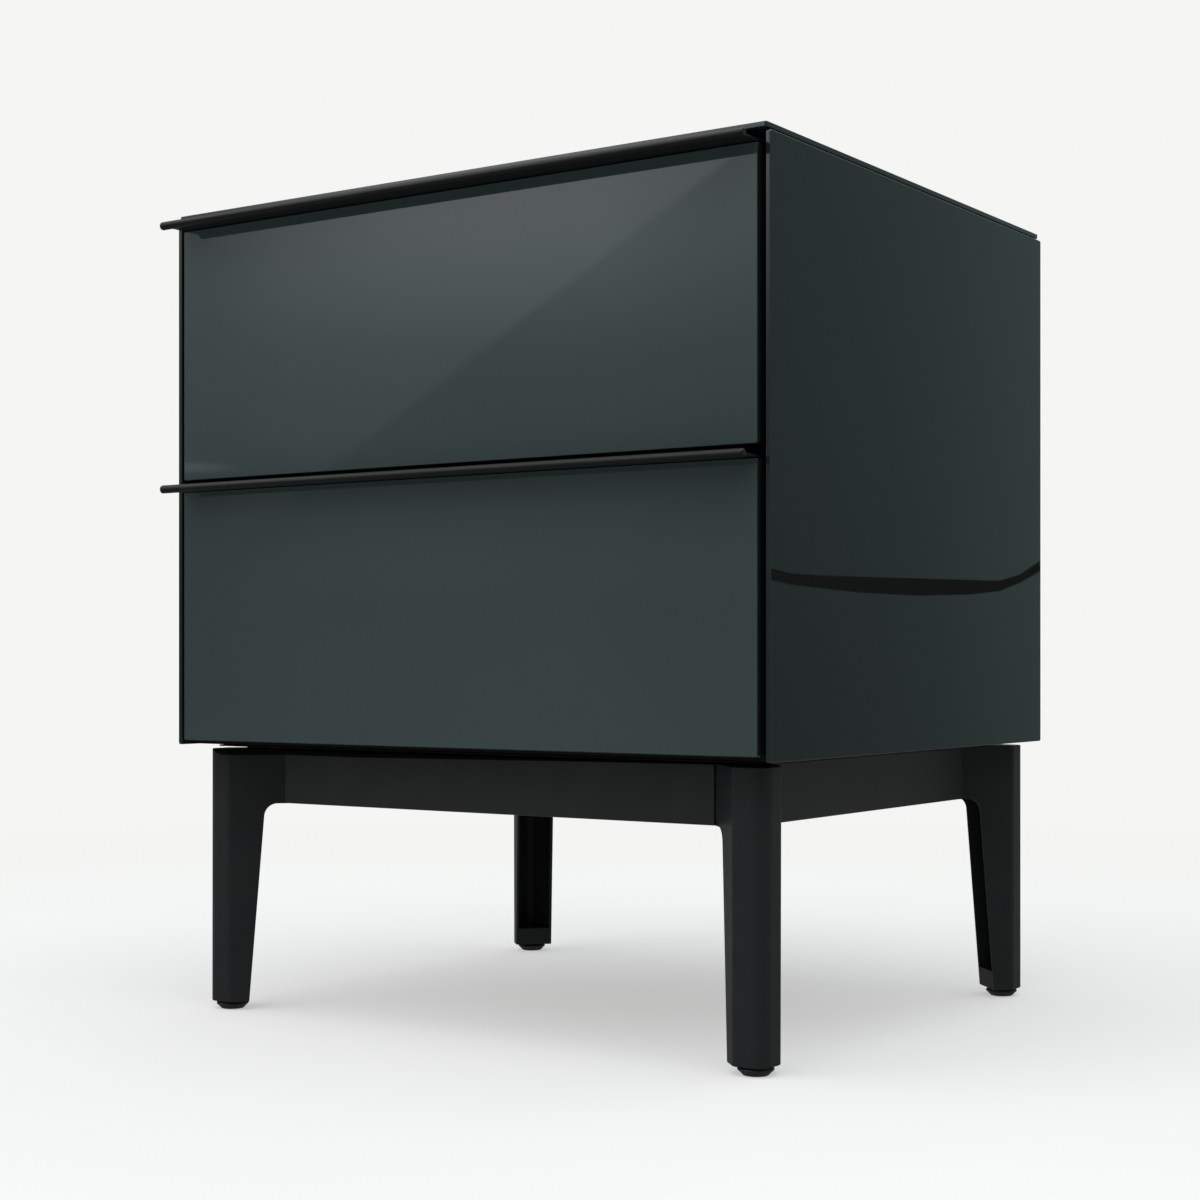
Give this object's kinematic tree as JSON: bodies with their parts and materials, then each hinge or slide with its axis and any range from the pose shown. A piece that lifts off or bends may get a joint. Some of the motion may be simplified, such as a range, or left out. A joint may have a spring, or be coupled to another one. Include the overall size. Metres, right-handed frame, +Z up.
{
  "type": "nightstand",
  "caption": "Bedside cabinet clad in dark painted glass, with drawers under slim full-width bar handles, on tapered diagonal metal legs joined by a set-back frame.",
  "frame": {"origin": "on the floor, in the middle of the outline that the cabinet and its handles cover", "axes": "+Z up, the drawer fronts face -Y, +X to the right seen from the front"},
  "size_m": [0.5094, 0.4502, 0.5937],
  "materials": {
    "painted_glass": "glossy back-painted glass, dark grey-green",
    "front_glass": "glossy back-painted glass, dark grey-green",
    "carcass_foil": "matt black foil on board",
    "box_foil": "matt anthracite foil on board",
    "leg_paint": "satin anthracite powder coat",
    "handle_paint": "satin black anodised",
    "black_steel": "matt black",
    "zinc_steel": "zinc plated",
    "foot_plastic": "black moulded plastic",
    "rubber": "black rubber"
  },
  "bodies": {
    "cabinet": {"top_glass": "painted_glass", "side_glass_left": "painted_glass", "carcass_side_left": "carcass_foil", "side_glass_right": "painted_glass", "carcass_side_right": "carcass_foil", "carcass_top_panel": "carcass_foil", "carcass_bottom_panel": "carcass_foil", "carcass_back_panel": "carcass_foil", "middle_rail": "carcass_foil", "mounting_board": "carcass_foil", "base_plate": "black_steel", "leg_front_left": "leg_paint", "spacer_front_left": "rubber", "frame_bolt_front_left": "zinc_steel", "leg_front_right": "leg_paint", "spacer_front_right": "rubber", "frame_bolt_front_right": "zinc_steel", "leg_back_left": "leg_paint", "spacer_back_left": "rubber", "frame_bolt_back_left": "zinc_steel", "leg_back_right": "leg_paint", "spacer_back_right": "rubber", "frame_bolt_back_right": "zinc_steel", "apron_front": "leg_paint", "apron_right": "leg_paint", "apron_back": "leg_paint", "apron_left": "leg_paint", "upper_slide_left_cabinet": "zinc_steel", "upper_slide_right_cabinet": "zinc_steel", "lower_slide_left_cabinet": "zinc_steel", "lower_slide_right_cabinet": "zinc_steel"},
    "upper_drawer": {"upper_front_glass": "front_glass", "upper_front_board": "carcass_foil", "upper_handle": "handle_paint", "upper_box_left": "box_foil", "upper_box_right": "box_foil", "upper_box_back": "box_foil", "upper_box_bottom": "box_foil", "upper_slide_left_drawer": "zinc_steel", "upper_slide_right_drawer": "zinc_steel"},
    "upper_slide_middles": {"upper_slide_left_middle": "zinc_steel", "upper_slide_right_middle": "zinc_steel"},
    "lower_drawer": {"lower_front_glass": "front_glass", "lower_front_board": "carcass_foil", "lower_handle": "handle_paint", "lower_box_left": "box_foil", "lower_box_right": "box_foil", "lower_box_back": "box_foil", "lower_box_bottom": "box_foil", "lower_slide_left_drawer": "zinc_steel", "lower_slide_right_drawer": "zinc_steel"},
    "lower_slide_middles": {"lower_slide_left_middle": "zinc_steel", "lower_slide_right_middle": "zinc_steel"},
    "foot_front_left": {"levelling_foot_front_left": "foot_plastic"},
    "foot_front_right": {"levelling_foot_front_right": "foot_plastic"},
    "foot_back_left": {"levelling_foot_back_left": "foot_plastic"},
    "foot_back_right": {"levelling_foot_back_right": "foot_plastic"}
  },
  "joints": [
    {"name": "upper_drawer_slide", "type": "slide", "parent": "cabinet", "child": "upper_drawer", "axis": [0, -1, 0], "range_m": [0, 0.33]},
    {"name": "upper_middles_slide", "type": "slide", "parent": "cabinet", "child": "upper_slide_middles", "axis": [0, -1, 0], "range_m": [0, 0.165]},
    {"name": "lower_drawer_slide", "type": "slide", "parent": "cabinet", "child": "lower_drawer", "axis": [0, -1, 0], "range_m": [0, 0.33]},
    {"name": "lower_middles_slide", "type": "slide", "parent": "cabinet", "child": "lower_slide_middles", "axis": [0, -1, 0], "range_m": [0, 0.165]},
    {"name": "foot_front_left_screw", "type": "slide", "parent": "cabinet", "child": "foot_front_left", "axis": [0, 0, 1], "range_m": [-0.006, 0.0006]},
    {"name": "foot_front_right_screw", "type": "slide", "parent": "cabinet", "child": "foot_front_right", "axis": [0, 0, 1], "range_m": [-0.006, 0.0006]},
    {"name": "foot_back_left_screw", "type": "slide", "parent": "cabinet", "child": "foot_back_left", "axis": [0, 0, 1], "range_m": [-0.006, 0.0006]},
    {"name": "foot_back_right_screw", "type": "slide", "parent": "cabinet", "child": "foot_back_right", "axis": [0, 0, 1], "range_m": [-0.006, 0.0006]}
  ],
  "couplings": [
    {"joint": "upper_middles_slide", "follows": "upper_drawer_slide", "ratio": 0.5},
    {"joint": "lower_middles_slide", "follows": "lower_drawer_slide", "ratio": 0.5}
  ]
}
